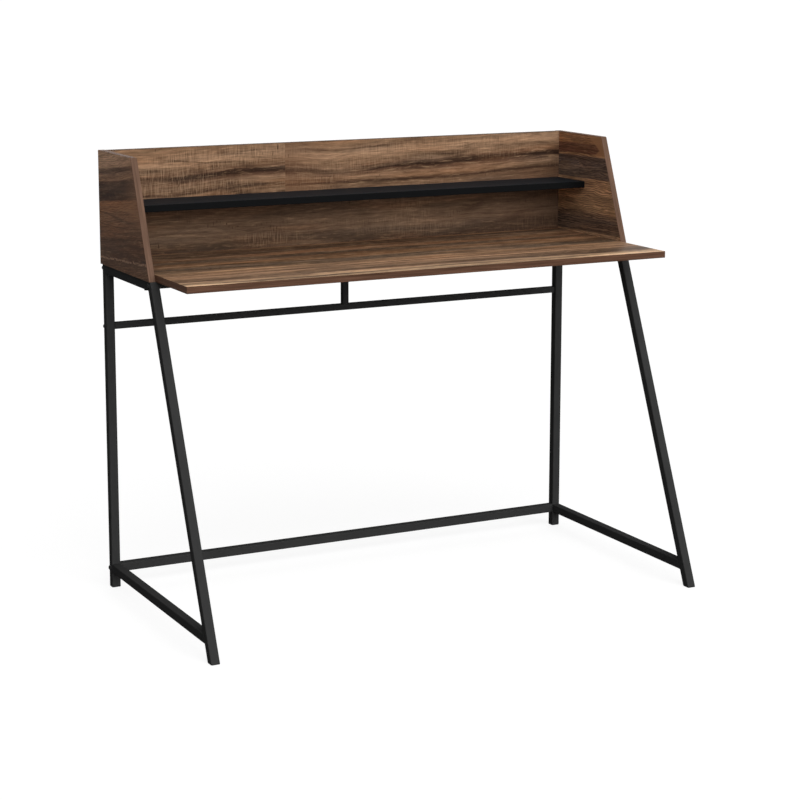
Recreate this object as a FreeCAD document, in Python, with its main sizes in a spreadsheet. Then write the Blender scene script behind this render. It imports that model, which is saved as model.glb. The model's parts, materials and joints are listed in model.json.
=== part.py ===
"""Computer desk with a hutch, on a welded frame of square tube. Lengths are in millimetres.

X runs along the width, Y from front to back and Z up. The origin is on the floor, mid footprint.
Depths are measured from the rear plane, which is the rear face of the upright legs.
"""
import FreeCAD, Part
import math
import os
import re

import Sketcher
from FreeCAD import Placement, Rotation, Vector

# Driving sizes: name, value, meaning
SIZES = (
    ("overall_width", 1200, "over the outer faces of the hutch sides"),
    ("board", 15, "thickness of every board"),
    ("board_edge", 0.5, "chamfer along the boards' edges"),
    ("frame_height", 747, "floor to the underside of the boards"),
    ("desktop_depth", 485, "rear plane to the desktop's front edge"),
    ("hutch_height", 255, "hutch sides, from the frame up"),
    ("side_top_depth", 210, "hutch side along its top edge"),
    ("side_bottom_depth", 310, "hutch side along its bottom edge"),
    ("side_rear_overhang", 5, "hutch sides behind the rear plane"),
    ("side_overhang", 2.5, "hutch sides outside the legs"),
    ("shelf_depth", 120, "back panel to the shelf's front edge"),
    ("shelf_gap", 112, "desktop's top to the shelf's underside"),
    ("foot_reach", 620, "rear plane to the toe of the leaning legs"),
    ("tube", 20, "square tube of legs, rails and lower crossbar"),
    ("tube_wall", 1.5, "wall of that tube"),
    ("tube_corner", 2, "outer corner radius of that tube"),
    ("slim_tube", 15, "square tube of the upper crossbars and the post"),
    ("slim_wall", 1.2, "wall of that tube"),
    ("slim_corner", 1.5, "outer corner radius of that tube"),
    ("lower_rail_height", 35, "floor to the underside of the lower rails"),
    ("mid_bar_drop", 133, "boards' underside to the top of the mid crossbar"),
    ("glide_flange", 2, "thickness of a glide under its leg"),
    ("glide_plug", 12, "length of a glide inside its leg"),
    ("plug_clearance", 0.2, "play between a plug and the tube round it"),
    ("plug_length", 10, "threaded plug in the end of a crossbar"),
    ("bolt", 6, "shank of the bolts of the slim crossbars"),
    ("bolt_head", 10.5, "diameter of their domed heads"),
    ("bolt_head_height", 3.3, "height of their heads"),
    ("bolt_socket", 4, "hexagon socket across its flats"),
    ("bolt_socket_depth", 2, "depth of that socket"),
    ("large_bolt", 8, "shank of the bolts of the lower crossbar"),
    ("large_bolt_head", 14, "diameter of their domed heads"),
    ("large_bolt_head_height", 4.4, "height of their heads"),
    ("large_bolt_socket", 5, "hexagon socket across its flats"),
    ("large_bolt_socket_depth", 2.6, "depth of that socket"),
    ("bolt_clearance", 0.25, "play round a shank that passes through"),
    ("thread_clearance", 0.1, "play round a thread in its hole"),
    ("end_clearance", 0.5, "space past the end of a pin or screw"),
    ("screw", 4, "shank of the wood screws"),
    ("screw_head", 7.5, "diameter of their heads"),
    ("screw_head_height", 2.2, "height of their heads"),
    ("screw_grip", 11, "length of a wood screw in the board that it holds"),
    ("dowel", 8, "diameter of the wooden dowels"),
    ("dowel_length", 30, "length of the dowels"),
    ("dowel_seat", 9, "part of a dowel in the face of a board"),
    ("cam", 15, "diameter of the cam locks"),
    ("cam_height", 12, "height of the cam locks"),
    ("cam_recess", 1.5, "depth and width of the cross in a cam's face"),
    ("cam_cross", 9, "length of the cross in a cam's face"),
    ("cam_setback", 34, "board's end to the middle of a cam lock"),
    ("cam_clearance", 0.15, "play round a cam lock in its hole"),
    ("cam_play", 0.5, "play round a cam bolt's head and neck in the cam"),
    ("cam_bolt_thread", 6, "thread of the cam bolts"),
    ("cam_bolt_seat", 10, "length of that thread in the hutch side"),
    ("cam_bolt_shank", 6.5, "shank of the cam bolts"),
    ("cam_bolt_neck", 4.2, "neck of the cam bolts, in the cam's slot"),
    ("cam_bolt_head", 7, "diameter of the cam bolts' heads"),
    ("cam_bolt_head_length", 4, "length of those heads"),
)

# Sizes that follow from the driving ones
DERIVED = {
    "rear_y": "(foot_reach - side_rear_overhang) / 2",
    "inner_half": "overall_width / 2 - board",
    "leg_outer": "overall_width / 2 - side_overhang",
    "bar_half": "leg_outer - tube",
    "leg_middle": "leg_outer - tube / 2",
    "side_middle": "(overall_width - board) / 2",
    "desk_top": "frame_height + board",
    "back_height": "hutch_height - board",
    "leg_top_reach": "side_bottom_depth - side_rear_overhang",
    "lean": "(foot_reach - leg_top_reach) / frame_height",
    "lean_stretch": "sqrt(1 + pow(lean; 2))",
    "rear_bar_y": "rear_y - slim_tube / 2",
    "front_bar_drop": "slim_tube / 2",
    "front_bar_reach": "leg_top_reach + lean * front_bar_drop - tube * lean_stretch / 2",
    "top_bar_z": "frame_height - slim_tube / 2",
    "mid_bar_z": "frame_height - mid_bar_drop - slim_tube / 2",
    "lower_bar_z": "lower_rail_height + tube / 2",
    "top_rail_height": "frame_height - tube",
    "slim_inner": "slim_tube - 2 * slim_wall",
    "tube_inner": "tube - 2 * tube_wall",
    "shelf_z": "desk_top + shelf_gap",
    "cam_floor": "board / 2 - cam_bolt_head / 2 - cam_play",
    "cam_bolt_head_start": "cam_setback - cam_bolt_head / 2",
    "cam_bolt_shank_end": "cam_setback - cam / 2 - cam_play",
    "cam_bolt_hole": "cam_bolt_shank + 2 * bolt_clearance",
    "cam_thread_hole": "cam_bolt_thread + 2 * thread_clearance",
    "cam_thread_depth": "cam_bolt_seat + end_clearance",
    "cam_hole": "cam + 2 * cam_clearance",
    "dowel_hole": "dowel + 2 * thread_clearance",
    "dowel_depth": "dowel_length - dowel_seat + end_clearance",
    "dowel_seat_depth": "dowel_seat + end_clearance",
    "pilot_hole": "screw + 2 * thread_clearance",
    "pilot_depth": "screw_grip + end_clearance",
    "screw_hole": "screw + 2 * bolt_clearance",
    "bolt_hole": "bolt + 2 * bolt_clearance",
    "large_bolt_hole": "large_bolt + 2 * bolt_clearance",
}

# Places of the fittings: distance from the rear plane, as shares of the hutch side's bottom depth
SIDE_SCREW_SHARES = (0.12, 0.86)
END_DOWEL_SHARES = (0.3, 0.7)
# up the back panel, as shares of its height
BACK_CAM_SHARES = (0.2, 0.8)
BACK_DOWEL_SHARES = (0.5,)
# forward from the shelf's rear edge, as shares of its depth
SHELF_CAM_SHARES = (0.7,)
SHELF_DOWEL_SHARES = (0.3,)
# along the width, as shares of half the desktop's length
DESKTOP_SCREW_SHARES = (-0.76, -0.3, 0.3, 0.76)
BACK_FOOT_DOWEL_SHARES = (-0.62, 0, 0.62)
SHELF_SCREW_SHARES = (-0.7, 0, 0.7)
# the flat top of a bolt's domed head, as a share of the head's width
BOLT_FLAT_SHARE = 0.5
# pins and screws that nothing shows have this many flat sides, and so do their holes
HIDDEN_SIDES = 8

# a curve's size until its formula is set
UNSET = 1.0

ALIASES = {name for name, number, meaning in SIZES}
SIDES = {"left": -1, "right": 1}
HALF_TURN = Rotation(Vector(0, 0, 1), 180)
NO_TURN = Rotation()
POINT_UP = Rotation(Vector(0, 1, 0), -90)

document = FreeCAD.newDocument("ComputerDesk")
nodes = []
cuts = []


def make_sheet():
    sheet = document.addObject("Spreadsheet::Sheet", "Sizes")
    for row, (name, number, meaning) in enumerate(SIZES, start=1):
        sheet.set(f"A{row}", str(number))
        sheet.setAlias(f"A{row}", name)
        sheet.set(f"B{row}", meaning)
    document.recompute()


def formula(text):
    """The text with each derived name replaced by what it stands for, and each size named in the sheet."""

    def swap(match):
        word = match.group(0)
        if word in DERIVED:
            return f"({formula(DERIVED[word])})"
        return f"Sizes.{word}" if word in ALIASES else word

    return re.sub("[a-z_]+", swap, text)


def share_of(share, size):
    """A share of a size, as a formula."""
    return f"{share} * {size}" if share else "0"


def place(item, x="0", y="0", z="0", turn=NO_TURN):
    item.Placement = Placement(Vector(), turn)
    for axis, text in zip("xyz", (x, y, z)):
        if text != "0":
            item.setExpression(f"Placement.Base.{axis}", formula(text))


def new_body(label, x="0", y="0", z="0", is_node=True):
    body = document.addObject("PartDesign::Body", label)
    body.Label = label
    place(body, x, y, z)
    if is_node:
        nodes.append(body)
    return body


def new_sketch(body, name, role, offset="0"):
    """A sketch on one of the body's own origin planes, moved along that plane's normal."""
    plane = next(item for item in body.Origin.OriginFeatures if item.Role == role)
    sketch = body.newObject("Sketcher::SketchObject", f"{body.Name}_{name}")
    sketch.AttachmentSupport = [(plane, "")]
    sketch.MapMode = "FlatFace"
    if offset != "0":
        sketch.setExpression("AttachmentOffset.Base.z", formula(offset))
    return sketch


def pin_point(sketch, curve, end, across, up):
    """Ties a point of a curve to its distances from the sketch's origin."""
    if across == "0" and up == "0":
        sketch.addConstraint(Sketcher.Constraint("Coincident", curve, end, -1, 1))
        return
    for kind, text, axis in (("DistanceX", across, -2), ("DistanceY", up, -1)):
        if text == "0":
            sketch.addConstraint(Sketcher.Constraint("PointOnObject", curve, end, axis))
            continue
        index = sketch.addConstraint(Sketcher.Constraint(kind, -1, 1, curve, end, UNSET))
        sketch.setExpression(f"Constraints[{index}]", formula(text))


def outline(sketch, points):
    """A closed outline of straight lines through points, each a pair of formulas."""
    first = sketch.GeometryCount
    count = len(points)
    turns = [2 * math.pi * index / count for index in range(count)]
    corners = [Vector(math.cos(turn), math.sin(turn), 0) for turn in turns]
    for index in range(count):
        sketch.addGeometry(Part.LineSegment(corners[index], corners[(index + 1) % count]), False)
    for index in range(count):
        following = first + (index + 1) % count
        sketch.addConstraint(Sketcher.Constraint("Coincident", first + index, 2, following, 1))
    for index, (across, up) in enumerate(points):
        pin_point(sketch, first + index, 1, across, up)


def rectangle(sketch, left, low, right, high):
    outline(sketch, ((left, low), (right, low), (right, high), (left, high)))


def square(sketch, side):
    """A square of the given side about the sketch's origin."""
    rectangle(sketch, f"-{side} / 2", f"-{side} / 2", f"{side} / 2", f"{side} / 2")


def circles(sketch, centres, diameter):
    for across, up in centres:
        curve = sketch.addGeometry(Part.Circle(Vector(), Vector(0, 0, 1), UNSET), False)
        pin_point(sketch, curve, 3, across, up)
        index = sketch.addConstraint(Sketcher.Constraint("Diameter", curve, UNSET))
        sketch.setExpression(f"Constraints[{index}]", formula(diameter))


def faceted(sketch, centres, width):
    """Polygons with the given width across their flat sides, two of which face along each axis."""
    half_side = math.pi / HIDDEN_SIDES
    turns = [half_side * (2 * index + 1) for index in range(HIDDEN_SIDES)]
    stretch = 1 / math.cos(half_side)
    shares = [(math.cos(turn) * stretch / 2, math.sin(turn) * stretch / 2) for turn in turns]
    for across, up in centres:
        outline(sketch, [(f"{across} + {x} * ({width})", f"{up} + {y} * ({width})") for x, y in shares])


def extrude(body, sketch, kind, length="0", symmetric=False, backward=False):
    """Pads or pockets a sketch. A pocket with no length goes right through, both ways."""
    before = body.Shape.Volume if kind == "Pocket" else None
    feature = body.newObject(f"PartDesign::{kind}", f"{sketch.Name}_{kind}")
    feature.Profile = sketch
    feature.Reversed = backward
    if length == "0":
        feature.Type = "ThroughAll"
        feature.SideType = "Symmetric"
    else:
        feature.setExpression("Length", formula(length))
        if symmetric:
            feature.SideType = "Symmetric"
    document.recompute()
    if before is not None:
        cuts.append((feature, before))
    return feature


def pad(body, sketch, length, symmetric=False):
    return extrude(body, sketch, "Pad", length, symmetric)


def pocket(body, sketch, length="0", symmetric=False, along_normal=False):
    return extrude(body, sketch, "Pocket", length, symmetric, along_normal)


def drill(body, name, role, offset, centres, width, depth="0", along_normal=False):
    """Hidden holes from a plane of the body, through it if no depth is given."""
    sketch = new_sketch(body, name, role, offset)
    faceted(sketch, centres, width)
    pocket(body, sketch, depth, along_normal=along_normal)


def add_pin(body, name, start, length, width):
    """A hidden pin, or a part of one, along the X axis from a start."""
    sketch = new_sketch(body, name, "YZ_Plane", start)
    faceted(sketch, [("0", "0")], width)
    pad(body, sketch, length)


def same(first, second):
    """Whether two coordinates agree, apart from rounding."""
    return math.isclose(first, second, abs_tol=Part.Precision.confusion())


def dress_edges(body, kind, feature, size, wanted):
    """Fillets or chamfers the edges of a feature that the test picks by their two ends."""
    names = []
    for number, edge in enumerate(feature.Shape.Edges, start=1):
        if wanted(edge.Vertexes[0].Point, edge.Vertexes[-1].Point):
            names.append(f"Edge{number}")
    dressing = body.newObject(f"PartDesign::{kind}", f"{body.Name}_{kind}")
    dressing.Base = (feature, names)
    dressing.setExpression("Radius" if kind == "Fillet" else "Size", formula(size))
    document.recompute()


def ease_edges(body, slab):
    """Takes the sharpness off every edge of a board."""
    dress_edges(body, "Chamfer", slab, "board_edge", lambda start, end: True)


def turned(body, points, dome):
    """A solid turned about the X axis. The points are along it and out from it, from end to end.

    The line from the point numbered dome to the next is an arc about a centre on the axis.
    """
    sketch = new_sketch(body, "Profile", "XY_Plane")
    outline(sketch, points)
    bend_outwards(sketch, dome)
    feature = body.newObject("PartDesign::Revolution", f"{body.Name}_Turned")
    feature.Profile = sketch
    feature.ReferenceAxis = (sketch, ["H_Axis"])
    feature.Angle = 360
    document.recompute()


def bend_outwards(sketch, dome):
    """Replaces one line of an outline by an arc with its centre on the sketch's horizontal axis."""
    sketch.setConstruction(dome, True)
    document.recompute()
    start = sketch.getPoint(dome, 1)
    end = sketch.getPoint(dome, 2)
    along = end.x - start.x
    centre_x = (end.x ** 2 + end.y ** 2 - start.x ** 2 - start.y ** 2) / (2 * along)
    centre = Vector(centre_x, 0, 0)
    radius = (start - centre).Length
    first = math.atan2(start.y, start.x - centre_x)
    last = math.atan2(end.y, end.x - centre_x)
    circle = Part.Circle(centre, Vector(0, 0, 1), radius)
    arc = sketch.addGeometry(Part.ArcOfCircle(circle, first, last), False)
    sketch.addConstraint(Sketcher.Constraint("Coincident", arc, 1, dome, 1))
    sketch.addConstraint(Sketcher.Constraint("Coincident", arc, 2, dome, 2))
    sketch.addConstraint(Sketcher.Constraint("PointOnObject", arc, 3, -1))


def group(label, master, spots):
    """One node that holds a copy of the master at each spot: x, y, z and turn."""
    copies = []
    for number, (x, y, z, turn) in enumerate(spots, start=1):
        copy = document.addObject("App::Link", f"{label}_{number}")
        copy.LinkedObject = master
        place(copy, x, y, z, turn)
        copies.append(copy)
    node = document.addObject("Part::Compound", label)
    node.Label = label
    node.Links = copies
    nodes.append(node)


def signed(sign, text):
    return text if sign > 0 else f"-({text})"


def end_turn(sign):
    """Turns a piece that points along +X so that it points inward from that end of the desk."""
    return NO_TURN if sign < 0 else HALF_TURN


def depth_places(shares, size, start="0"):
    """Distances from the rear plane, negative because they run forward."""
    return [f"-({start} + {share_of(share, size)})" for share in shares]


def desk_places():
    """Where the desktop's dowels meet a hutch side: forward of the rear plane and above the frame."""
    return [(spot, "board / 2") for spot in depth_places(END_DOWEL_SHARES, "side_bottom_depth")]


def back_places(shares):
    """Where the back panel's fittings meet a hutch side."""
    return [("-board / 2", f"(board + {share_of(share, 'back_height')})") for share in shares]


def shelf_places(shares):
    """Where the shelf's fittings meet a hutch side."""
    height = "(board + shelf_gap + board / 2)"
    return [(spot, height) for spot in depth_places(shares, "shelf_depth", "board")]


def side_cam_places():
    return back_places(BACK_CAM_SHARES) + shelf_places(SHELF_CAM_SHARES)


def side_dowel_places():
    return desk_places() + back_places(BACK_DOWEL_SHARES) + shelf_places(SHELF_DOWEL_SHARES)


def leg_front(height):
    """The front edge of the leaning leg at a height, as a distance from the rear plane."""
    return f"leg_top_reach + lean * (frame_height - ({height}))"


def drill_ends(body, name, points, width, depth):
    """Bores in both ends of a board, for what joins it to the hutch sides."""
    for side, sign in SIDES.items():
        end = signed(sign, "inner_half")
        drill(body, f"{side}_{name}", "YZ_Plane", end, points, width, depth, sign < 0)


def fit_cams(body, face, places, points):
    """Round seats for cam locks in the face on the given plane, and bores for their bolts in both ends.

    Places run along the ends of the board. Points are the same places in the sketch of an end.
    """
    drill_ends(body, "bolt_bores", points, "cam_bolt_hole", "cam_setback")
    ends = [signed(sign, "(inner_half - cam_setback)") for sign in SIDES.values()]
    centres = [(end, spot) for end in ends for spot in places]
    sketch = new_sketch(body, "cam_seats", face)
    circles(sketch, centres, "cam_hole")
    pocket(body, sketch, "cam_height", along_normal=True)


def make_board(label, y, z, face, outline_corners):
    """A board of the desk's inner width, drawn on its lower or rear face."""
    body = new_body(label, "0", y, z)
    sketch = new_sketch(body, "Outline", face)
    rectangle(sketch, *outline_corners)
    slab = pad(body, sketch, "board")
    ease_edges(body, slab)
    return body


def make_desktop():
    corners = ("-inner_half", "-desktop_depth", "inner_half", "0")
    body = make_board("desktop", "rear_y", "frame_height", "XY_Plane", corners)
    drill_ends(body, "dowel_bores", desk_places(), "dowel_hole", "dowel_depth")
    widths = [share_of(share, "inner_half") for share in DESKTOP_SCREW_SHARES]
    screws = [(width, spot) for width in widths for spot in ("-slim_tube / 2", "-front_bar_reach")]
    drill(body, "screw_pilots", "XY_Plane", "0", screws, "pilot_hole", "pilot_depth", True)
    pins = [(share_of(share, "inner_half"), "-board / 2") for share in BACK_FOOT_DOWEL_SHARES]
    drill(body, "back_dowel_seats", "XY_Plane", "board", pins, "dowel_hole", "dowel_seat_depth")


def make_hutch_side(side, sign):
    body = new_body(f"hutch_side_{side}", signed(sign, "side_middle"), "rear_y", "frame_height")
    sketch = new_sketch(body, "Outline", "YZ_Plane")
    corners = (
        ("side_rear_overhang", "0"),
        ("side_rear_overhang", "hutch_height"),
        ("side_rear_overhang - side_top_depth", "hutch_height"),
        ("side_rear_overhang - side_bottom_depth", "0"),
    )
    outline(sketch, corners)
    slab = pad(body, sketch, "board", symmetric=True)
    ease_edges(body, slab)
    face = signed(-sign, "board / 2")
    into = sign > 0
    threads = side_cam_places()
    drill(body, "cam_bolt_seats", "YZ_Plane", face, threads, "cam_thread_hole", "cam_thread_depth", into)
    pins = side_dowel_places()
    drill(body, "dowel_seats", "YZ_Plane", face, pins, "dowel_hole", "dowel_seat_depth", into)
    screws = [("0", spot) for spot in depth_places(SIDE_SCREW_SHARES, "side_bottom_depth")]
    drill(body, "screw_pilots", "XY_Plane", "0", screws, "pilot_hole", "pilot_depth", True)


def make_back_panel():
    corners = ("-inner_half", "0", "inner_half", "back_height")
    body = make_board("hutch_back_panel", "rear_y", "desk_top", "XZ_Plane", corners)
    cams = [share_of(share, "back_height") for share in BACK_CAM_SHARES]
    fit_cams(body, "XZ_Plane", cams, [("-board / 2", spot) for spot in cams])
    pins = [("-board / 2", share_of(share, "back_height")) for share in BACK_DOWEL_SHARES]
    drill_ends(body, "dowel_bores", pins, "dowel_hole", "dowel_depth")
    screws = [(share_of(share, "inner_half"), "shelf_gap + board / 2") for share in SHELF_SCREW_SHARES]
    drill(body, "shelf_screw_holes", "XZ_Plane", "0", screws, "screw_hole")
    pins = [(share_of(share, "inner_half"), "-board / 2") for share in BACK_FOOT_DOWEL_SHARES]
    drill(body, "foot_dowel_bores", "XY_Plane", "0", pins, "dowel_hole", "dowel_depth", True)


def make_shelf():
    corners = ("-inner_half", "-shelf_depth", "inner_half", "0")
    body = make_board("hutch_shelf", "rear_y - board", "shelf_z", "XY_Plane", corners)
    cams = depth_places(SHELF_CAM_SHARES, "shelf_depth")
    fit_cams(body, "XY_Plane", cams, [(spot, "board / 2") for spot in cams])
    pins = [(spot, "board / 2") for spot in depth_places(SHELF_DOWEL_SHARES, "shelf_depth")]
    drill_ends(body, "dowel_bores", pins, "dowel_hole", "dowel_depth")
    screws = [(share_of(share, "inner_half"), "board / 2") for share in SHELF_SCREW_SHARES]
    drill(body, "screw_pilots", "XZ_Plane", "0", screws, "pilot_hole", "pilot_depth", True)


def make_side_tube(label, sign, outer, inner):
    """A tube of a side frame, drawn from the side, with its hollow drawn the same way."""
    body = new_body(label, signed(sign, "leg_middle"), "rear_y")
    sketch = new_sketch(body, "Outline", "YZ_Plane")
    outline(sketch, outer)
    bar = pad(body, sketch, "tube", symmetric=True)
    long_enough = max(edge.Length for edge in bar.Shape.Edges) / 2

    def runs_lengthwise(start, end):
        """The four long edges join the two ends of the tube."""
        return same(start.x, end.x) and (start - end).Length > long_enough

    dress_edges(body, "Fillet", bar, "tube_corner", runs_lengthwise)
    hollow = new_sketch(body, "Hollow", "YZ_Plane")
    outline(hollow, inner)
    pocket(body, hollow, "tube_inner", symmetric=True)
    return body


def make_rear_leg(side, sign):
    low, high = "glide_flange", "frame_height"
    outer = (("0", low), ("0", high), ("-tube", high), ("-tube", low))
    near, far = "-tube_wall", "tube_wall - tube"
    inner = ((near, low), (near, high), (far, high), (far, low))
    body = make_side_tube(f"{side}_rear_leg", sign, outer, inner)
    slim = [("-slim_tube / 2", height) for height in ("top_bar_z", "mid_bar_z")]
    drill(body, "bolt_holes", "YZ_Plane", "0", slim, "bolt_hole")
    large = [("-tube / 2", "lower_bar_z")]
    drill(body, "large_bolt_hole", "YZ_Plane", "0", large, "large_bolt_hole")


def leaning(height, inset):
    """The leaning leg's front edge at a height, moved back by an inset square to the leg."""
    return f"{inset} * lean_stretch - ({leg_front(height)})"


def make_front_leg(side, sign):
    outer = leaning_strip("glide_flange", "frame_height", "0", "tube")
    inner = leaning_strip("glide_flange", "frame_height", "tube_wall", "(tube - tube_wall)")
    body = make_side_tube(f"{side}_front_leg", sign, outer, inner)
    centre = [("-front_bar_reach", "top_bar_z")]
    drill(body, "bolt_hole", "YZ_Plane", "0", centre, "bolt_hole")


def make_side_rail(side, sign, name, height):
    """A rail from the rear leg's front face to the leaning leg's back face."""
    low, high = height, f"{height} + tube"
    inner_low, inner_high = f"{height} + tube_wall", f"{height} + tube - tube_wall"
    outer = (("-tube", low), ("-tube", high), (leaning(high, "tube"), high), (leaning(low, "tube"), low))
    inner = (
        ("-tube", inner_low),
        ("-tube", inner_high),
        (leaning(inner_high, "tube"), inner_high),
        (leaning(inner_low, "tube"), inner_low),
    )
    return make_side_tube(f"{side}_{name}", sign, outer, inner)


def make_top_rail(side, sign):
    body = make_side_rail(side, sign, "top_rail", "top_rail_height")
    across = signed(sign, "(side_middle - leg_middle)")
    screws = [(across, spot) for spot in depth_places(SIDE_SCREW_SHARES, "side_bottom_depth")]
    drill(body, "screw_holes", "XY_Plane", "0", screws, "screw_hole")


def make_crossbar(label, y, z, size, wall, corner):
    """A tube that runs along X from leg to leg."""
    body = new_body(label, "0", y, z)
    sketch = new_sketch(body, "Section", "YZ_Plane")
    square(sketch, size)
    square(sketch, f"({size} - 2 * {wall})")
    bar = pad(body, sketch, "2 * bar_half", symmetric=True)
    outermost = bar.Shape.BoundBox.YMax

    def on_outer_corner(start, end):
        """Long edges at the corners of the section, not those of the hollow."""
        return not same(start.x, end.x) and same(abs(start.y), outermost)

    dress_edges(body, "Fillet", bar, corner, on_outer_corner)
    return body


def make_crossbars():
    slim = ("slim_tube", "slim_wall", "slim_corner")
    rear = make_crossbar("rear_top_crossbar", "rear_bar_y", "top_bar_z", *slim)
    front = make_crossbar("front_top_crossbar", "rear_y - front_bar_reach", "top_bar_z", *slim)
    make_crossbar("rear_mid_crossbar", "rear_bar_y", "mid_bar_z", *slim)
    stout = ("tube", "tube_wall", "tube_corner")
    make_crossbar("rear_lower_crossbar", "rear_y - tube / 2", "lower_bar_z", *stout)
    screws = [(share_of(share, "inner_half"), "0") for share in DESKTOP_SCREW_SHARES]
    for body in (rear, front):
        drill(body, "screw_holes", "XY_Plane", "0", screws, "screw_hole")


def make_centre_post():
    body = new_body("centre_post", "0", "rear_bar_y", "frame_height - mid_bar_drop")
    sketch = new_sketch(body, "Section", "XY_Plane")
    square(sketch, "slim_tube")
    square(sketch, "slim_inner")
    post = pad(body, sketch, "mid_bar_drop - slim_tube")
    outermost = post.Shape.BoundBox.YMax

    def on_outer_corner(start, end):
        return not same(start.z, end.z) and same(abs(start.y), outermost)

    dress_edges(body, "Fillet", post, "slim_corner", on_outer_corner)


def leaning_strip(low, high, front, back):
    """The corners of a strip of the leaning leg between two heights and two insets from its front."""
    return (
        (leaning(low, back), low),
        (leaning(high, back), high),
        (leaning(high, front), high),
        (leaning(low, front), low),
    )


def chamfer_flange(body, flange):
    """Cuts the flange's four short edges back to the rounded corners of the tube."""
    tallest = flange.Shape.BoundBox.ZMax

    def at_corner(start, end):
        return same(abs(start.z - end.z), tallest)

    dress_edges(body, "Chamfer", flange, "tube_corner", at_corner)


def make_glides():
    """Plastic feet: a flange under the tube and a plug up inside it."""
    plug_half = "(tube_inner / 2 - plug_clearance)"
    upright = new_body("upright_glide", is_node=False)
    sketch = new_sketch(upright, "Flange", "XY_Plane")
    square(sketch, "tube")
    chamfer_flange(upright, pad(upright, sketch, "glide_flange"))
    sketch = new_sketch(upright, "Plug", "XY_Plane", "glide_flange")
    square(sketch, f"(2 * {plug_half})")
    pad(upright, sketch, "glide_plug")
    spots = [(signed(sign, "leg_middle"), "rear_y - tube / 2", "0", NO_TURN) for sign in SIDES.values()]
    group("rear_leg_glides", upright, spots)

    leant = new_body("leant_glide", is_node=False)
    sketch = new_sketch(leant, "Flange", "YZ_Plane")
    outline(sketch, leaning_strip("0", "glide_flange", "0", "tube"))
    chamfer_flange(leant, pad(leant, sketch, "tube", symmetric=True))
    sketch = new_sketch(leant, "Plug", "YZ_Plane")
    front = "(tube_wall + plug_clearance)"
    back = "(tube - tube_wall - plug_clearance)"
    outline(sketch, leaning_strip("glide_flange", "glide_flange + glide_plug", front, back))
    pad(leant, sketch, f"2 * {plug_half}", symmetric=True)
    spots = [(signed(sign, "leg_middle"), "rear_y", "0", NO_TURN) for sign in SIDES.values()]
    group("front_leg_glides", leant, spots)


def make_threaded_plug(label, inner, thread, spots):
    """Square plugs with a threaded hole, set into the ends of the crossbars."""
    body = new_body(f"{label}_master", is_node=False)
    sketch = new_sketch(body, "Section", "YZ_Plane")
    square(sketch, f"({inner} - 2 * plug_clearance)")
    faceted(sketch, [("0", "0")], f"{thread} + 2 * thread_clearance")
    pad(body, sketch, "plug_length")
    group(label, body, spots)


def make_bolt(label, prefix, spots):
    """Domed bolts with a hexagon socket: through a leg and into the plug of a crossbar."""
    body = new_body(f"{label}_master", is_node=False)
    head = f"{prefix}_head / 2"
    height = f"{prefix}_head_height"
    points = (
        ("0", "0"),
        ("0", head),
        (f"-{height}", share_of(BOLT_FLAT_SHARE, head)),
        (f"-{height}", "0"),
    )
    turned(body, points, dome=1)
    add_pin(body, "Shank", "0", "tube + plug_length", prefix)
    socket = new_sketch(body, "Socket", "YZ_Plane", f"-{height}")
    flats = f"{prefix}_socket"
    corner = f"({flats} / sqrt(3))"
    hexagon = (
        (corner, "0"),
        (f"{corner} / 2", f"{flats} / 2"),
        (f"-{corner} / 2", f"{flats} / 2"),
        (f"-{corner}", "0"),
        (f"-{corner} / 2", f"-{flats} / 2"),
        (f"{corner} / 2", f"-{flats} / 2"),
    )
    outline(socket, hexagon)
    pocket(body, socket, f"{flats}_depth", along_normal=True)
    group(label, body, spots)


def make_crossbar_fasteners():
    """Each crossbar has a plug in both ends and a bolt through both legs."""
    slim = (
        ("rear_bar_y", "top_bar_z"),
        ("rear_bar_y", "mid_bar_z"),
        ("rear_y - front_bar_reach", "top_bar_z"),
    )
    stout = (("rear_y - tube / 2", "lower_bar_z"),)
    for bars, inner, prefix, names in (
        (slim, "slim_inner", "bolt", ("slim_crossbar_plugs", "slim_crossbar_bolts")),
        (stout, "tube_inner", "large_bolt", ("lower_crossbar_plugs", "lower_crossbar_bolts")),
    ):
        ends = [(sign, y, z) for sign in SIDES.values() for y, z in bars]
        plugs = [(signed(sign, "bar_half"), y, z, end_turn(sign)) for sign, y, z in ends]
        make_threaded_plug(names[0], inner, prefix, plugs)
        bolts = [(signed(sign, "leg_outer"), y, z, end_turn(sign)) for sign, y, z in ends]
        make_bolt(names[1], prefix, bolts)


def make_screws(label, through, spots):
    """Wood screws whose heads bear on the near side of what they pass through."""
    body = new_body(f"{label}_master", is_node=False)
    add_pin(body, "Shank", "0", f"{through} + screw_grip", "screw")
    add_pin(body, "Head", "-screw_head_height", "screw_head_height", "screw_head")
    group(label, body, spots)


def make_all_screws():
    widths = [share_of(share, "inner_half") for share in DESKTOP_SCREW_SHARES]
    bars = ("rear_bar_y", "rear_y - front_bar_reach")
    under = "frame_height - slim_tube"
    make_screws("desktop_screws", "slim_tube", [(x, y, under, POINT_UP) for x in widths for y in bars])
    depths = [f"rear_y + {spot}" for spot in depth_places(SIDE_SCREW_SHARES, "side_bottom_depth")]
    middles = [signed(sign, "side_middle") for sign in SIDES.values()]
    spots = [(x, y, "top_rail_height", POINT_UP) for x in middles for y in depths]
    make_screws("hutch_side_screws", "tube", spots)
    widths = [share_of(share, "inner_half") for share in SHELF_SCREW_SHARES]
    forward = Rotation(Vector(0, 0, 1), -90)
    make_screws("shelf_screws", "board", [(x, "rear_y", "shelf_z + board / 2", forward) for x in widths])


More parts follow.
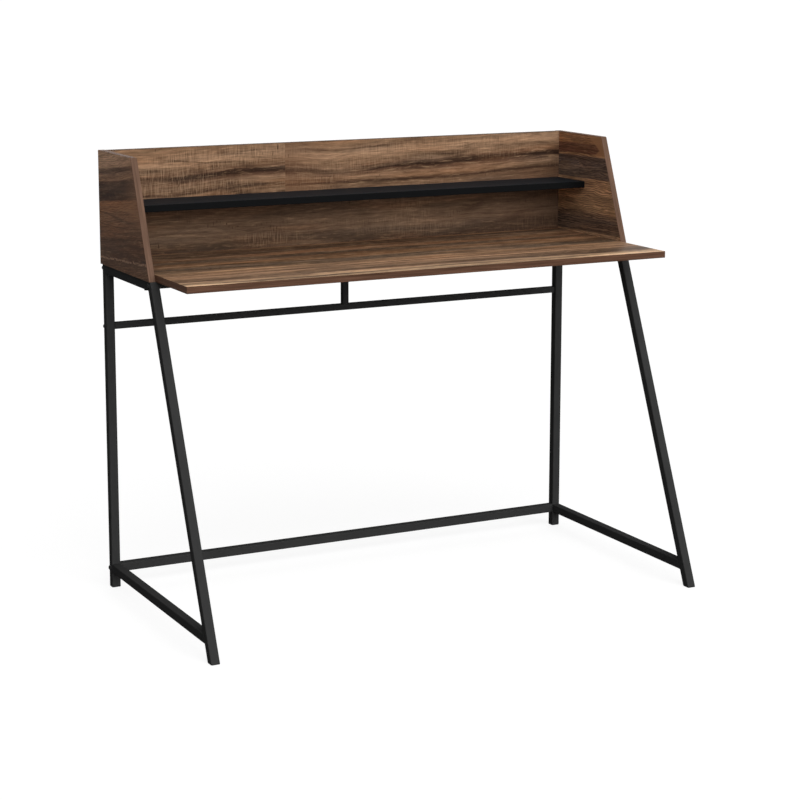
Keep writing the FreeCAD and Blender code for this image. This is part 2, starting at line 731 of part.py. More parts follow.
def end_spots(places):
    """A spot at both ends of the desk for each place on the hutch sides, pointing inward."""
    spots = []
    for sign in SIDES.values():
        x, turn = signed(sign, "inner_half"), end_turn(sign)
        spots += [(x, f"rear_y + {y}", f"frame_height + {z}", turn) for y, z in places]
    return spots


def make_dowels():
    body = new_body("dowel_master", is_node=False)
    add_pin(body, "Pin", "-dowel_seat", "dowel_length", "dowel")
    spots = end_spots(side_dowel_places())
    for share in BACK_FOOT_DOWEL_SHARES:
        spots.append((share_of(share, "inner_half"), "rear_y - board / 2", "desk_top", POINT_UP))
    group("dowels", body, spots)


def make_cam_bolts():
    """Bolts that screw into the hutch sides and whose heads hang in the cam locks."""
    body = new_body("cam_bolt_master", is_node=False)
    add_pin(body, "Thread", "-cam_bolt_seat", "cam_bolt_seat", "cam_bolt_thread")
    add_pin(body, "Shank", "0", "cam_bolt_shank_end", "cam_bolt_shank")
    neck_length = "cam_bolt_head_start - cam_bolt_shank_end"
    add_pin(body, "Neck", "cam_bolt_shank_end", neck_length, "cam_bolt_neck")
    add_pin(body, "Head", "cam_bolt_head_start", "cam_bolt_head_length", "cam_bolt_head")
    group("cam_bolts", body, end_spots(side_cam_places()))


def cross_outline(arm, thin):
    """The corners of a cross about the origin, from the tip of one arm round to it again."""
    corners = []
    for across, up in ((1, 1), (-1, 1), (-1, -1), (1, -1)):
        long_x, long_y = signed(across, arm), signed(up, arm)
        short_x, short_y = signed(across, thin), signed(up, thin)
        quarter = [(long_x, short_y), (short_x, short_y), (short_x, long_y)]
        corners += quarter if across == up else quarter[::-1]
    return corners


def make_cam_locks():
    """Drums with a cross in the face, a chamber for a cam bolt's head and a slot for its neck."""
    body = new_body("cam_master", is_node=False)
    drum = new_sketch(body, "Drum", "XY_Plane")
    circles(drum, [("0", "0")], "cam")
    pad(body, drum, "cam_height")
    depth = "cam_height - cam_floor"
    chamber = new_sketch(body, "Chamber", "XY_Plane", "cam_height")
    square(chamber, "(cam_bolt_head + 2 * cam_play)")
    pocket(body, chamber, depth)
    slot = new_sketch(body, "Slot", "XY_Plane", "cam_height")
    half = "(cam_bolt_neck / 2 + cam_play)"
    rectangle(slot, "-cam", f"-{half}", "0", half)
    pocket(body, slot, depth)
    cross = new_sketch(body, "Cross", "XY_Plane")
    outline(cross, cross_outline("cam_cross / 2", "cam_recess / 2"))
    pocket(body, cross, "cam_recess", along_normal=True)
    into_back = Rotation(Vector(1, 0, 0), 90)
    spots = []
    for sign in SIDES.values():
        x, turn = signed(sign, "(inner_half - cam_setback)"), end_turn(sign)
        spots += [(x, f"rear_y + {y}", "shelf_z", turn) for y, z in shelf_places(SHELF_CAM_SHARES)]
        upright = into_back.multiply(turn)
        spots += [(x, "rear_y", f"frame_height + {z}", upright) for y, z in back_places(BACK_CAM_SHARES)]
    group("cam_locks", body, spots)


def check_and_export():
    """Stops if anything failed to build, then writes one file for each node."""
    document.recompute()
    for item in document.Objects:
        for word in ("Invalid", "Error"):
            if word in item.State:
                raise RuntimeError(f"{item.Name} is {item.State}")
    for feature, before in cuts:
        if not feature.Shape.Volume < before:
            raise RuntimeError(f"{feature.Name} cuts nothing")
    os.makedirs("parts", exist_ok=True)
    for node in nodes:
        if node.Shape.isNull() or not node.Shape.isValid():
            raise RuntimeError(f"{node.Label} has no valid shape")
        node.Shape.exportStep(f"parts/{node.Label}.step")
        print(node.Label, len(node.Shape.Solids), round(node.Shape.Volume / 1000, 2), "cm3")


make_sheet()
make_desktop()
for name, direction in SIDES.items():
    make_hutch_side(name, direction)
    make_rear_leg(name, direction)
    make_front_leg(name, direction)
    make_top_rail(name, direction)
    make_side_rail(name, direction, "lower_rail", "lower_rail_height")
make_back_panel()
make_shelf()
make_crossbars()
make_centre_post()
make_glides()
make_crossbar_fasteners()
make_all_screws()
make_dowels()
make_cam_bolts()
make_cam_locks()
check_and_export()
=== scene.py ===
import json
import math

import bpy
from mathutils import Matrix, Vector

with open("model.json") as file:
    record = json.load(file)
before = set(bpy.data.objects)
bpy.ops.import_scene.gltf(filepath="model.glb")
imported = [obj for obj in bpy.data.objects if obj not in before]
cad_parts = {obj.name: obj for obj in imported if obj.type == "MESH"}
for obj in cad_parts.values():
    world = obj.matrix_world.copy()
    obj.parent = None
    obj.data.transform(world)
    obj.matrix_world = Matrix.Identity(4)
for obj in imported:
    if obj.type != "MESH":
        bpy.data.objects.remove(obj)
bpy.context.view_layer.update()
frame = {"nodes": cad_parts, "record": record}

nodes = frame["nodes"]
scene = bpy.context.scene
scene.view_settings.view_transform = "Standard"

# Lengths are in metres. Each lamp has a direction from the desk to the lamp, a strength and a width in degrees.
LAMPS = {
    "key": ((-0.03, -0.77, 0.64), 2.5, 70),
    "fill": ((0.15, -0.98, 0.15), 1.2, 50),
    "back": ((0.25, 0.85, 0.35), 1.0, 60),
}
WORLD_LEVEL = 0.12
FLOOR_SIZE = 300.0
FLOOR_COLOUR = 0.24
FLOOR_GLOW = 0.84
WHITE = (1, 1, 1, 1)

# The photograph's viewpoint, found by a perspective fit to the edges of the desk. Angles are in radians.
CAMERA_PLACE = (-2.1141, -4.1123, 1.4274)
CAMERA_YAW, CAMERA_PITCH, CAMERA_ROLL = 0.4737, 0.1728, 0.0013
CAMERA_FOCAL_MM = 93.941
CAMERA_SENSOR_MM = 36.0
CAMERA_SHIFT = -0.10
CAMERA_REACH = 500.0

# The size of a normal along an axis: a face square to the axis has more than the first, and a chamfer has the second,
# give or take the third
FACE_NORMAL = 0.9
CHAMFER_NORMAL = 0.707
CHAMFER_SPREAD = 0.15

# Boards: share of the glue line's colour on the chamfers, sheen, and depth and strength of the grain's relief
GLUE_LINE_SHARE = 0.45
PRINT_ROUGHNESS = 0.55
PRINT_SPECULAR = 0.015
PRINT_RELIEF = 0.0002
PRINT_RELIEF_SHARE = 0.35

# The back panel's print: where it is joined, and the heights between which its figure fades out behind the shelf
SEAM_X = -0.155
BEHIND_SHELF = (0.86, 0.89)

# Layers of noise in the wood print: how often each changes along the grain and across it, per metre, the place that
# it is taken from, its detail and its roughness
GRAIN_LAYERS = {
    "drift": (1.5, 6.0, 0.0, 2.0, 0.5),
    "ripple": (6.5, 26.0, 3.0, 3.0, 0.5),
    "tone": (2.6, 24.0, 5.0, 3.0, 0.6),
    "hue": (3.4, 30.0, 11.0, 2.0, 0.5),
    "curl": (22.0, 40.0, 19.0, 2.0, 0.5),
    "figure": (0.9, 8.5, 13.0, 2.0, 0.45),
    "ring_patches": (3.0, 16.0, 15.0, 1.0, 0.5),
    "bend": (13.0, 48.0, 23.0, 3.0, 0.5),
    "line_patches": (6.0, 22.0, 25.0, 2.0, 0.5),
    "strand": (3.0, 70.0, 45.0, 2.0, 0.6),
    "streak": (14.0, 130.0, 7.0, 4.0, 0.7),
    "fleck": (44.0, 240.0, 21.0, 3.0, 0.6),
    "thread": (7.0, 190.0, 47.0, 2.0, 0.6),
    "fibre": (30.0, 420.0, 17.0, 4.0, 0.7),
    "saw_cuts": (700.0, 30.0, 27.0, 2.0, 0.6),
    "sawn_patches": (3.2, 14.0, 29.0, 2.0, 0.5),
    "ticks": (240.0, 46.0, 37.0, 1.0, 0.5),
    "ticked_patches": (9.0, 30.0, 41.0, 1.0, 0.5),
}
DRIFT_SHARE = 2.4
LINES_PER_METRE = 205.0
LINE_BEND = 4.5
LINE_DEPTH = 0.55
FIBRE_DEPTH = 0.42
SAW_CUT_SHARE = 0.26
SAW_BURR_SHARE = 0.24
TICK_SHARE = 0.55


def paint(red, green, blue):
    """A display colour, 0 to 255, as the linear colour that the shaders take."""
    def linear(level):
        share = level / 255
        return share / 12.92 if share <= 0.04045 else ((share + 0.055) / 1.055) ** 2.4

    return (linear(red), linear(green), linear(blue), 1.0)


# Colours that layers of the print bring in: the noise at which each begins and is full, its share, and the colour
GRAIN_TINTS = {
    "tone": ((0.52, 0.7, 0.5, paint(72, 53, 41)), (0.48, 0.3, 0.4, paint(164, 130, 102))),
    "hue": ((0.5, 0.72, 0.34, paint(146, 100, 68)), (0.5, 0.28, 0.3, paint(108, 94, 82))),
    "streak": ((0.52, 0.7, 0.6, paint(62, 45, 35)), (0.48, 0.3, 0.45, paint(176, 142, 110))),
    "fleck": ((0.54, 0.68, 1.0, paint(52, 38, 30)), (0.45, 0.32, 0.8, paint(190, 150, 114))),
}


class Graph:
    """One material and the nodes that make it. Numbers and sockets can be given alike."""

    def __init__(self, name):
        self.material = bpy.data.materials.new(name)
        self.material.use_nodes = True
        self.tree = self.material.node_tree
        self.tree.nodes.clear()
        output = self.node("ShaderNodeOutputMaterial")
        self.shader = self.node("ShaderNodeBsdfPrincipled")
        self.tree.links.new(self.shader.outputs[0], output.inputs["Surface"])
        self.place = self.node("ShaderNodeTexCoord").outputs["Object"]
        self.x, self.y, self.z = self.node("ShaderNodeSeparateXYZ", {0: self.place}).outputs
        normal = self.node("ShaderNodeNewGeometry").outputs["True Normal"]
        self.facing = self.node("ShaderNodeSeparateXYZ", {0: normal}).outputs

    def node(self, kind, inputs=None, **settings):
        made = self.tree.nodes.new(kind)
        for key, value in settings.items():
            setattr(made, key, value)
        for key, value in (inputs or {}).items():
            self.feed(made.inputs[key], value)
        return made

    def feed(self, socket, value):
        if isinstance(value, bpy.types.NodeSocket):
            self.tree.links.new(value, socket)
        else:
            socket.default_value = value

    def set(self, **values):
        """The shader's inputs by name, with _ for each space."""
        for key, value in values.items():
            self.feed(self.shader.inputs[key.replace("_", " ")], value)

    def math(self, operation, first, second=0.0, third=0.0):
        return self.node("ShaderNodeMath", {0: first, 1: second, 2: third}, operation=operation).outputs[0]

    def add(self, *terms):
        total = terms[0]
        for term in terms[1:]:
            total = self.math("ADD", total, term)
        return total

    def times(self, *factors):
        product = factors[0]
        for factor in factors[1:]:
            product = self.math("MULTIPLY", product, factor)
        return product

    def absolute(self, value):
        return self.math("ABSOLUTE", value)

    def over(self, value, limit):
        return self.math("GREATER_THAN", value, limit)

    def span(self, value, low, high, start=0.0, end=1.0, easing="SMOOTHSTEP"):
        """The value moved from the range low to high into the range start to end, and held at its ends."""
        inputs = {"Value": value, "From Min": low, "From Max": high, "To Min": start, "To Max": end}
        return self.node("ShaderNodeMapRange", inputs, interpolation_type=easing).outputs[0]

    def vector(self, x, y, z=0.0):
        return self.node("ShaderNodeCombineXYZ", {0: x, 1: y, 2: z}).outputs[0]

    def noise(self, vector, detail=2.0, roughness=0.5, scale=1.0):
        inputs = {"Vector": vector, "Scale": scale, "Detail": detail, "Roughness": roughness}
        return self.node("ShaderNodeTexNoise", inputs).outputs[0]

    def ramp(self, value, stops):
        made = self.node("ShaderNodeValToRGB", {0: value})
        ramp = made.color_ramp
        ramp.interpolation = "EASE"
        while len(ramp.elements) < len(stops):
            ramp.elements.new(1.0)
        for element, (place, colour) in zip(ramp.elements, stops):
            element.position = place
            element.color = colour
        return made.outputs[0]

    def blend(self, share, first, second, kind="MIX"):
        made = self.node("ShaderNodeMix", data_type="RGBA", blend_type=kind)
        colours = [socket for socket in made.inputs if socket.type == "RGBA"]
        self.feed(made.inputs[0], share)
        self.feed(colours[0], first)
        self.feed(colours[1], second)
        return next(socket for socket in made.outputs if socket.type == "RGBA")

    def shaded(self, colour, value, depth):
        """The colour made darker and lighter by up to the depth where the noise is low and high."""
        level = self.span(value, 0.25, 0.75, 1 - depth, 1 + depth, easing="LINEAR")
        grey = self.node("ShaderNodeCombineColor", {0: level, 1: level, 2: level}).outputs[0]
        return self.blend(1.0, colour, grey, "MULTIPLY")

    def bump(self, height, distance, strength):
        made = self.node("ShaderNodeBump", {"Height": height, "Strength": strength, "Distance": distance})
        self.set(Normal=made.outputs[0])


def sawn_wood(
    graph, along, across, seed, bands, low, high, wander=0.012, tilt=0.0, lively=1.0, rings=7.0, ringed=0.5,
    curls=0.006, lined=0.0, strands=0.15, flecks=0.2, threads=0.3, calm=0.0, saw=1.0,
):
    """Colour and relief of a printed wood face. The bands are colours across the grain from low to high.

    The bands wander, tilt and curl. The other settings say how strongly each kind of figure shows, and calm
    takes the figure back.
    """
    def layer(name, way=across):
        stretch, fineness, offset, detail, roughness = GRAIN_LAYERS[name]
        vector = graph.vector(graph.times(along, stretch), graph.times(way, fineness), seed + offset)
        return graph.noise(vector, detail, roughness)

    def centred(value, size):
        return graph.times(graph.math("SUBTRACT", value, 0.5), size)

    def tinted(colour, name, strength):
        value = layer(name, moved)
        for begins, full, share, tint in GRAIN_TINTS[name]:
            colour = graph.blend(graph.span(value, begins, full, 0.0, share * strength), colour, tint)
        return colour

    drift = centred(layer("drift"), DRIFT_SHARE * wander)
    ripple = centred(layer("ripple"), wander)
    moved = graph.add(across, graph.times(along, tilt), drift, ripple)
    share = graph.span(moved, low, high, easing="LINEAR")
    plain = graph.ramp(share, bands)
    colour = tinted(tinted(plain, "tone", lively), "hue", lively)

    # Year rings: contours of a slow noise
    curl = graph.add(moved, centred(layer("curl"), curls))
    ring = graph.math("PINGPONG", graph.times(layer("figure", curl), rings), 0.5)
    late = graph.times(graph.span(ring, 0.34, 0.5), graph.span(layer("ring_patches"), 0.42, 0.6))
    colour = graph.blend(graph.times(late, ringed), colour, paint(58, 41, 31))

    # Wavy lines that run close together along the grain
    if lined:
        wave = graph.add(graph.times(curl, LINES_PER_METRE), graph.times(layer("bend"), LINE_BEND))
        line = graph.math("PINGPONG", wave, 0.5)
        place = graph.span(layer("line_patches"), 0.36, 0.55, 0.3 * lined, lined)
        swell = graph.math("MULTIPLY_ADD", graph.math("SUBTRACT", line, 0.25), place, 0.5)
        colour = graph.shaded(colour, swell, LINE_DEPTH)

    # Long strands, streaks, short flecks, fine threads and the finest fibre
    colour = graph.shaded(colour, layer("strand", moved), strands)
    colour = tinted(tinted(colour, "streak", lively), "fleck", flecks)
    colour = graph.shaded(colour, layer("thread", moved), threads)
    colour = graph.blend(calm, colour, plain)
    fibre = layer("fibre", moved)
    colour = graph.shaded(colour, fibre, FIBRE_DEPTH)

    # Marks that the saw left across the grain: fine cuts, their pale burrs and single dark ticks
    hair = layer("saw_cuts")
    place = graph.span(layer("sawn_patches"), 0.44, 0.6)
    cut = graph.times(graph.span(hair, 0.45, 0.66), place)
    colour = graph.blend(graph.times(cut, saw, SAW_CUT_SHARE), colour, paint(60, 44, 34))
    burr = graph.times(graph.span(hair, 0.5, 0.34), place)
    colour = graph.blend(graph.times(burr, saw, SAW_BURR_SHARE), colour, paint(182, 148, 118))
    tick = graph.times(graph.span(layer("ticks"), 0.62, 0.72), graph.span(layer("ticked_patches"), 0.58, 0.68))
    colour = graph.blend(graph.times(tick, saw, TICK_SHARE), colour, paint(52, 38, 30))
    relief = graph.add(fibre, graph.times(cut, -0.5), graph.times(tick, -1.0))
    return colour, relief


def edge_band(graph, along, across, tone):
    """The plain printed band on a board's edges, with faint grain along it."""
    grain = graph.noise(graph.vector(graph.times(along, 8.0), graph.times(across, 300.0), 5.0), 4.0, 0.6)
    cloud = graph.noise(graph.vector(graph.times(along, 5.0), graph.times(across, 60.0), 9.0), 1.0)
    return graph.shaded(graph.shaded(tone, grain, 0.5), cloud, 0.16)


def finish_board(graph, printed, edge, relief, axis):
    """Print on the faces square to the axis, the band on the edges and a dark glue line between them."""
    flat = graph.absolute(graph.facing[axis])
    colour = graph.blend(graph.over(flat, FACE_NORMAL), edge, printed)
    line = graph.math("COMPARE", flat, CHAMFER_NORMAL, CHAMFER_SPREAD)
    colour = graph.blend(graph.times(line, GLUE_LINE_SHARE), colour, paint(48, 34, 27))
    graph.set(Base_Color=colour, Roughness=PRINT_ROUGHNESS, Specular_IOR_Level=PRINT_SPECULAR)
    graph.bump(relief, PRINT_RELIEF, PRINT_RELIEF_SHARE)
    return graph.material


def desktop_material():
    """The print's colours run from the front edge to the rear one."""
    graph = Graph("desktop_print")
    # the palest bands at the front edge are print with a painted sheen on it
    bands = (
        (0.0, paint(220, 184, 147)),
        (0.08, paint(184, 149, 118)),
        (0.13, paint(108, 85, 67)),
        (0.2, paint(120, 94, 73)),
        (0.27, paint(174, 134, 103)),
        (0.36, paint(158, 122, 92)),
        (0.42, paint(84, 68, 54)),
        (0.48, paint(74, 60, 49)),
        (0.53, paint(112, 82, 58)),
        (0.61, paint(116, 84, 60)),
        (0.65, paint(70, 54, 42)),
        (0.7, paint(72, 55, 42)),
        (0.75, paint(126, 88, 62)),
        (0.79, paint(106, 76, 54)),
        (0.83, paint(74, 56, 43)),
        (0.94, paint(84, 62, 46)),
        (1.0, paint(178, 135, 101)),
    )
    colour, relief = sawn_wood(
        graph, graph.x, graph.y, seed=1.3, bands=bands, low=-0.18, high=0.3,
        wander=0.014, lively=1.1, rings=9.0, ringed=0.6, strands=0.8, flecks=0.42, saw=0.1,
    )
    edge = edge_band(graph, graph.x, graph.z, paint(92, 66, 52))
    return finish_board(graph, colour, edge, relief, 2)


def streak_sway(graph, seam):
    """How far the back panel's streaks lie below their level: they climb to the seam, dip past it and climb again."""
    climb = graph.span(graph.x, -0.5, -0.2, 0.007, -0.0055)
    fall = graph.span(graph.x, SEAM_X, -0.04, 0.0, 0.008)
    dip = graph.times(graph.add(fall, graph.span(graph.x, -0.04, 0.2, 0.0, -0.008)), graph.span(graph.z, 0.9, 0.93))
    rise = graph.add(dip, graph.span(graph.x, 0.2, 0.6, 0.0, -0.0115))
    sway = graph.math("MULTIPLY_ADD", seam, graph.math("SUBTRACT", rise, climb), climb)
    return graph.times(sway, graph.span(graph.z, *BEHIND_SHELF))


def back_panel_material():
    """The print's colours run from the panel's foot to its top, with a seam in it above the shelf."""
    graph = Graph("back_panel_print")
    # the lowest bands, darker towards the foot, are painted shade where the panel meets the desktop
    bands = (
        (0.0, paint(62, 49, 40)),
        (0.1, paint(76, 60, 48)),
        (0.2, paint(114, 91, 73)),
        (0.28, paint(112, 89, 71)),
        (0.36, paint(96, 76, 61)),
        (0.44, paint(102, 82, 67)),
        (0.575, paint(120, 92, 70)),
        (0.608, paint(64, 45, 34)),
        (0.633, paint(110, 84, 64)),
        (0.655, paint(126, 98, 76)),
        (0.68, paint(124, 96, 75)),
        (0.715, paint(92, 67, 52)),
        (0.735, paint(52, 36, 28)),
        (0.765, paint(52, 36, 28)),
        (0.79, paint(108, 80, 61)),
        (0.82, paint(122, 94, 72)),
        (0.9, paint(156, 123, 96)),
        (1.0, paint(130, 100, 76)),
    )
    seam = graph.over(graph.x, SEAM_X)
    height = graph.add(graph.z, streak_sway(graph, seam))
    colour, relief = sawn_wood(
        graph, graph.x, height, seed=4.1, bands=bands, low=0.7565, high=0.9965,
        wander=0.008, tilt=-0.004, lively=0.9, rings=8.0, ringed=0.7, threads=0.38,
        calm=graph.span(graph.z, 0.86, 0.88, 0.35, 0.0), saw=graph.span(graph.x, -0.1, -0.24, 0.9, 1.6),
    )
    # darker wood to the right of the seam, and the right end darker under its streaks: print above the shelf, painted
    # shade of the corner under the shelf
    beside = graph.times(seam, graph.span(graph.x, 0.02, -0.14), graph.span(graph.z, 0.87, 0.892))
    colour = graph.blend(graph.times(beside, 0.36), colour, paint(98, 68, 50))
    right_end_print_and_shade = graph.times(graph.span(graph.x, 0.18, 0.46), graph.span(height, 0.907, 0.899))
    # a smaller share below the shelf, where this darkening is painted shade
    depth = graph.span(graph.z, *BEHIND_SHELF, 0.3, 0.5)
    colour = graph.blend(graph.times(right_end_print_and_shade, depth), colour, paint(74, 52, 40))
    edge = edge_band(graph, graph.x, graph.y, paint(84, 62, 50))
    return finish_board(graph, colour, edge, relief, 1)


def outer_side_print(graph):
    """The faces of the hutch sides that look outwards. The bands run upwards from the foot."""
    bands = (
        (0.0, paint(94, 67, 50)),
        (0.08, paint(76, 52, 39)),
        (0.22, paint(90, 62, 46)),
        (0.3, paint(112, 80, 60)),
        (0.45, paint(126, 90, 66)),
        (0.575, paint(142, 99, 71)),
        (0.59, paint(60, 40, 31)),
        (0.75, paint(72, 49, 38)),
        (0.765, paint(150, 114, 90)),
        (0.82, paint(138, 106, 85)),
        (0.833, paint(82, 60, 48)),
        (0.862, paint(96, 72, 58)),
        (0.877, paint(176, 138, 112)),
        (1.0, paint(200, 160, 130)),
    )
    colour, relief = sawn_wood(
        graph, graph.y, graph.z, seed=8.7, bands=bands, low=0.776, high=1.031,
        wander=0.003, tilt=0.12, lively=0.5, rings=14.0, lined=0.45, flecks=0.12, threads=0.32, saw=0.15,
    )
    # the front half is lighter above the foot
    zone = graph.times(graph.span(graph.y, 0.17, 0.05), graph.span(graph.z, 0.83, 0.87))
    colour = graph.blend(graph.times(zone, 0.42), colour, paint(150, 110, 85))
    # a pale dotted thread runs just over the foot
    sway = graph.noise(graph.vector(graph.times(graph.y, 26.0), 3.0), 3.0)
    level = graph.add(graph.z, graph.times(graph.y, 0.06), graph.times(sway, 0.008), -0.786)
    dots = graph.noise(graph.vector(graph.times(graph.y, 120.0), graph.times(graph.z, 240.0), 6.0), 3.0)
    thread = graph.times(graph.span(graph.absolute(level), 0.0042, 0.0006), graph.span(dots, 0.36, 0.58))
    return graph.blend(graph.times(thread, 0.58), colour, paint(188, 150, 124)), relief


def inner_side_print(graph):
    """The colour of the faces of the hutch sides that look inwards. The bands run upwards from the foot."""
    bands = (
        (0.0, paint(200, 158, 124)),
        (0.065, paint(186, 146, 114)),
        (0.085, paint(104, 86, 74)),
        (0.19, paint(112, 92, 79)),
        (0.24, paint(142, 112, 90)),
        (0.29, paint(184, 144, 109)),
        (0.575, paint(204, 158, 121)),
        (0.59, paint(114, 95, 83)),
        (0.785, paint(124, 104, 94)),
        (0.795, paint(190, 144, 108)),
        (0.81, paint(184, 138, 102)),
        (0.82, paint(124, 83, 65)),
        (0.9, paint(130, 88, 68)),
        (0.915, paint(174, 123, 86)),
        (1.0, paint(170, 119, 84)),
    )
    colour = sawn_wood(
        graph, graph.y, graph.z, seed=12.9, bands=bands, low=0.752, high=1.007,
        wander=0.004, tilt=0.02, lively=0.7, rings=10.0, ringed=0.3, curls=0.004, lined=1.0, threads=0.42, saw=0.3,
    )[0]
    # the dark red band under the top ends in a point, with pale wood in front of it
    point = graph.times(graph.absolute(graph.add(graph.z, -0.968)), -1.6)
    pale = graph.times(graph.span(graph.add(graph.y, point), 0.113, 0.103), graph.span(graph.z, 0.95, 0.957))
    return graph.blend(graph.times(pale, 0.75), colour, paint(188, 138, 100))


def hutch_side_material():
    """Both side panels: one print on the outer faces and another on the inner ones."""
    graph = Graph("hutch_side_print")
    outer, relief = outer_side_print(graph)
    inner = inner_side_print(graph)
    outward = graph.over(graph.times(graph.facing[0], graph.x), 0.0)
    edge = edge_band(graph, graph.z, graph.x, paint(106, 82, 68))
    return finish_board(graph, graph.blend(outward, inner, outer), edge, relief, 0)


def black_board_material():
    graph = Graph("black_laminate")
    grain = graph.noise(graph.vector(graph.times(graph.x, 9.0), graph.times(graph.y, 420.0), graph.z), 3.0, 0.6)
    # the top and underside are lighter than the edges: partly a darker edge band, partly painted light as on a lit
    # top
    level = graph.over(graph.absolute(graph.facing[2]), FACE_NORMAL)
    colour = graph.shaded(graph.blend(level, paint(13, 14, 15), paint(22, 26, 30)), grain, 0.12)
    graph.set(Base_Color=colour, Roughness=graph.span(grain, 0.3, 0.7, 0.44, 0.56), Specular_IOR_Level=0.03)
    graph.bump(grain, 0.0001, 0.3)
    return graph.material


def coated_steel(name, tone, roughness, specular, grain):
    """A coated or moulded black: fine orange peel and a faint cloud in the colour."""
    graph = Graph(name)
    peel = graph.noise(graph.place, 2.0, 0.5, grain)
    cloud = graph.noise(graph.place, 3.0, 0.6, 14.0)
    rough = graph.span(cloud, 0.3, 0.7, roughness - 0.04, roughness + 0.04)
    graph.set(Base_Color=graph.shaded(tone, cloud, 0.08), Roughness=rough, Specular_IOR_Level=specular)
    graph.bump(peel, 0.0001, 0.4)
    return graph.material


def bare_metal(name, tone, roughness):
    """Plated or die-cast metal with fine marks of handling."""
    graph = Graph(name)
    brush = graph.noise(graph.place, 4.0, 0.65, 420.0)
    rough = graph.span(brush, 0.3, 0.7, roughness - 0.08, roughness + 0.08)
    graph.set(Base_Color=graph.shaded(tone, brush, 0.12), Roughness=rough, Metallic=1.0)
    graph.bump(brush, 0.00005, 0.3)
    return graph.material


def beech_material():
    graph = Graph("beech")
    rings = graph.noise(graph.place, 4.0, 0.6, 260.0)
    colour = graph.blend(graph.span(rings, 0.35, 0.7), paint(206, 176, 134), paint(170, 136, 96))
    graph.set(Base_Color=colour, Roughness=0.7)
    graph.bump(rings, 0.0001, 0.4)
    return graph.material


FINISHES = {
    "black_board": black_board_material(),
    "black_frame": coated_steel("black_powder_coat", paint(54, 54, 54), 0.6, 0.0, 1500.0),
    "black_bolt": coated_steel("black_bolt_finish", paint(40, 40, 40), 0.42, 0.03, 2500.0),
    "glide_plastic": coated_steel("moulded_black_plastic", paint(42, 42, 42), 0.6, 0.05, 900.0),
    "plated_steel": bare_metal("zinc_plate", paint(190, 190, 194), 0.34),
    "cam_metal": bare_metal("die_cast_zinc", paint(170, 172, 176), 0.46),
    "dowel_wood": beech_material(),
}
side_print = hutch_side_material()
OWN_FINISHES = {
    "desktop": desktop_material(),
    "hutch_back_panel": back_panel_material(),
    "hutch_side_left": side_print,
    "hutch_side_right": side_print,
}

for subpart in frame["record"]["subparts"]:
    name = subpart["node"]
    mesh = nodes[name].data
    mesh.materials.clear()
    mesh.materials.append(OWN_FINISHES.get(name) or FINISHES[subpart["material_slot"]])


def seen_directly(tree):
    """1 for rays from the camera and for those that mirror or pass light, which see the backdrop as it is."""
    path = tree.nodes.new("ShaderNodeLightPath")
    share = path.outputs["Is Camera Ray"]
    for name in ("Is Glossy Ray", "Is Transmission Ray"):
        either = tree.nodes.new("ShaderNodeMath")
        either.operation = "MAXIMUM"
        tree.links.new(share, either.inputs[0])
        tree.links.new(path.outputs[name], either.inputs[1])
        share = either.outputs[0]
    return share


def light_world():
    """White where it is seen, and a low even light on the desk."""
    world = bpy.data.worlds.new("studio")
    scene.world = world
    world.use_nodes = True
    tree = world.node_tree
    background = tree.nodes["Background"]
    background.inputs["Color"].default_value = WHITE
    strength = tree.nodes.new("ShaderNodeMapRange")
    tree.links.new(seen_directly(tree), strength.inputs["Value"])
    strength.inputs["To Min"].default_value = WORLD_LEVEL
    strength.inputs["To Max"].default_value = 1.0
    tree.links.new(strength.outputs[0], background.inputs["Strength"])


def add_sun(name, towards, strength, width):
    """A soft distant lamp."""
    data = bpy.data.lights.new(name, "SUN")
    data.energy = strength
    data.angle = math.radians(width)
    lamp = bpy.data.objects.new(name, data)
    lamp.rotation_euler = Vector(towards).to_track_quat("Z", "Y").to_euler()
    scene.collection.objects.link(lamp)


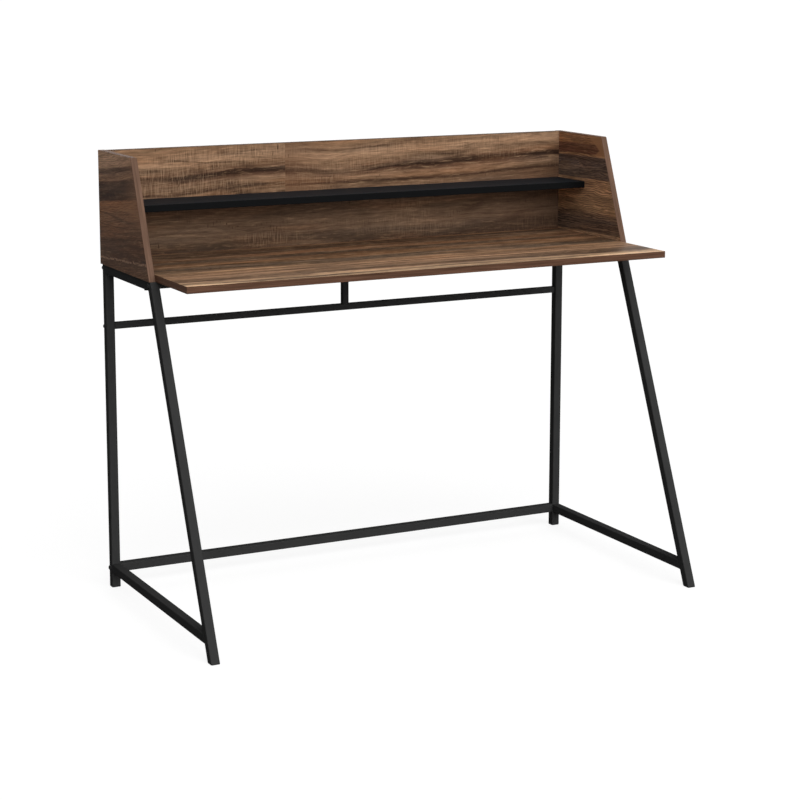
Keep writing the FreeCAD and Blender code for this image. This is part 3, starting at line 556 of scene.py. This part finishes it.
def add_floor():
    """A pale floor that glows to white where it is seen and keeps the desk's shadow."""
    mesh = bpy.data.meshes.new("floor")
    half = FLOOR_SIZE / 2
    corners = [(-half, -half, 0), (half, -half, 0), (half, half, 0), (-half, half, 0)]
    mesh.from_pydata(corners, [], [(0, 1, 2, 3)])
    floor = bpy.data.objects.new("floor", mesh)
    scene.collection.objects.link(floor)
    material = bpy.data.materials.new("pale_floor")
    material.use_nodes = True
    tree = material.node_tree
    shader = tree.nodes["Principled BSDF"]
    shader.inputs["Base Color"].default_value = (FLOOR_COLOUR, FLOOR_COLOUR, FLOOR_COLOUR, 1)
    shader.inputs["Roughness"].default_value = 1.0
    shader.inputs["Specular IOR Level"].default_value = 0.0
    shader.inputs["Emission Color"].default_value = WHITE
    strength = tree.nodes.new("ShaderNodeMath")
    strength.operation = "MULTIPLY"
    strength.inputs[1].default_value = FLOOR_GLOW
    tree.links.new(seen_directly(tree), strength.inputs[0])
    tree.links.new(strength.outputs[0], shader.inputs["Emission Strength"])
    mesh.materials.append(material)


def add_camera():
    ahead = Vector((math.sin(CAMERA_YAW), math.cos(CAMERA_YAW), 0))
    right = Vector((math.cos(CAMERA_YAW), -math.sin(CAMERA_YAW), 0))
    up = Vector((0, 0, 1))
    view = math.cos(CAMERA_PITCH) * ahead - math.sin(CAMERA_PITCH) * up
    top = math.cos(CAMERA_PITCH) * up + math.sin(CAMERA_PITCH) * ahead
    across = math.cos(CAMERA_ROLL) * right + math.sin(CAMERA_ROLL) * top
    upward = math.cos(CAMERA_ROLL) * top - math.sin(CAMERA_ROLL) * right
    data = bpy.data.cameras.new("camera")
    data.sensor_width = CAMERA_SENSOR_MM
    data.lens = CAMERA_FOCAL_MM
    data.shift_y = CAMERA_SHIFT
    data.clip_end = CAMERA_REACH
    camera = bpy.data.objects.new("camera", data)
    turn = Matrix((across, upward, -view)).transposed()
    camera.matrix_world = Matrix.Translation(CAMERA_PLACE) @ turn.to_4x4()
    scene.collection.objects.link(camera)
    scene.camera = camera


light_world()
for name, (towards, strength, width) in LAMPS.items():
    add_sun(name, towards, strength, width)
add_floor()
add_camera()
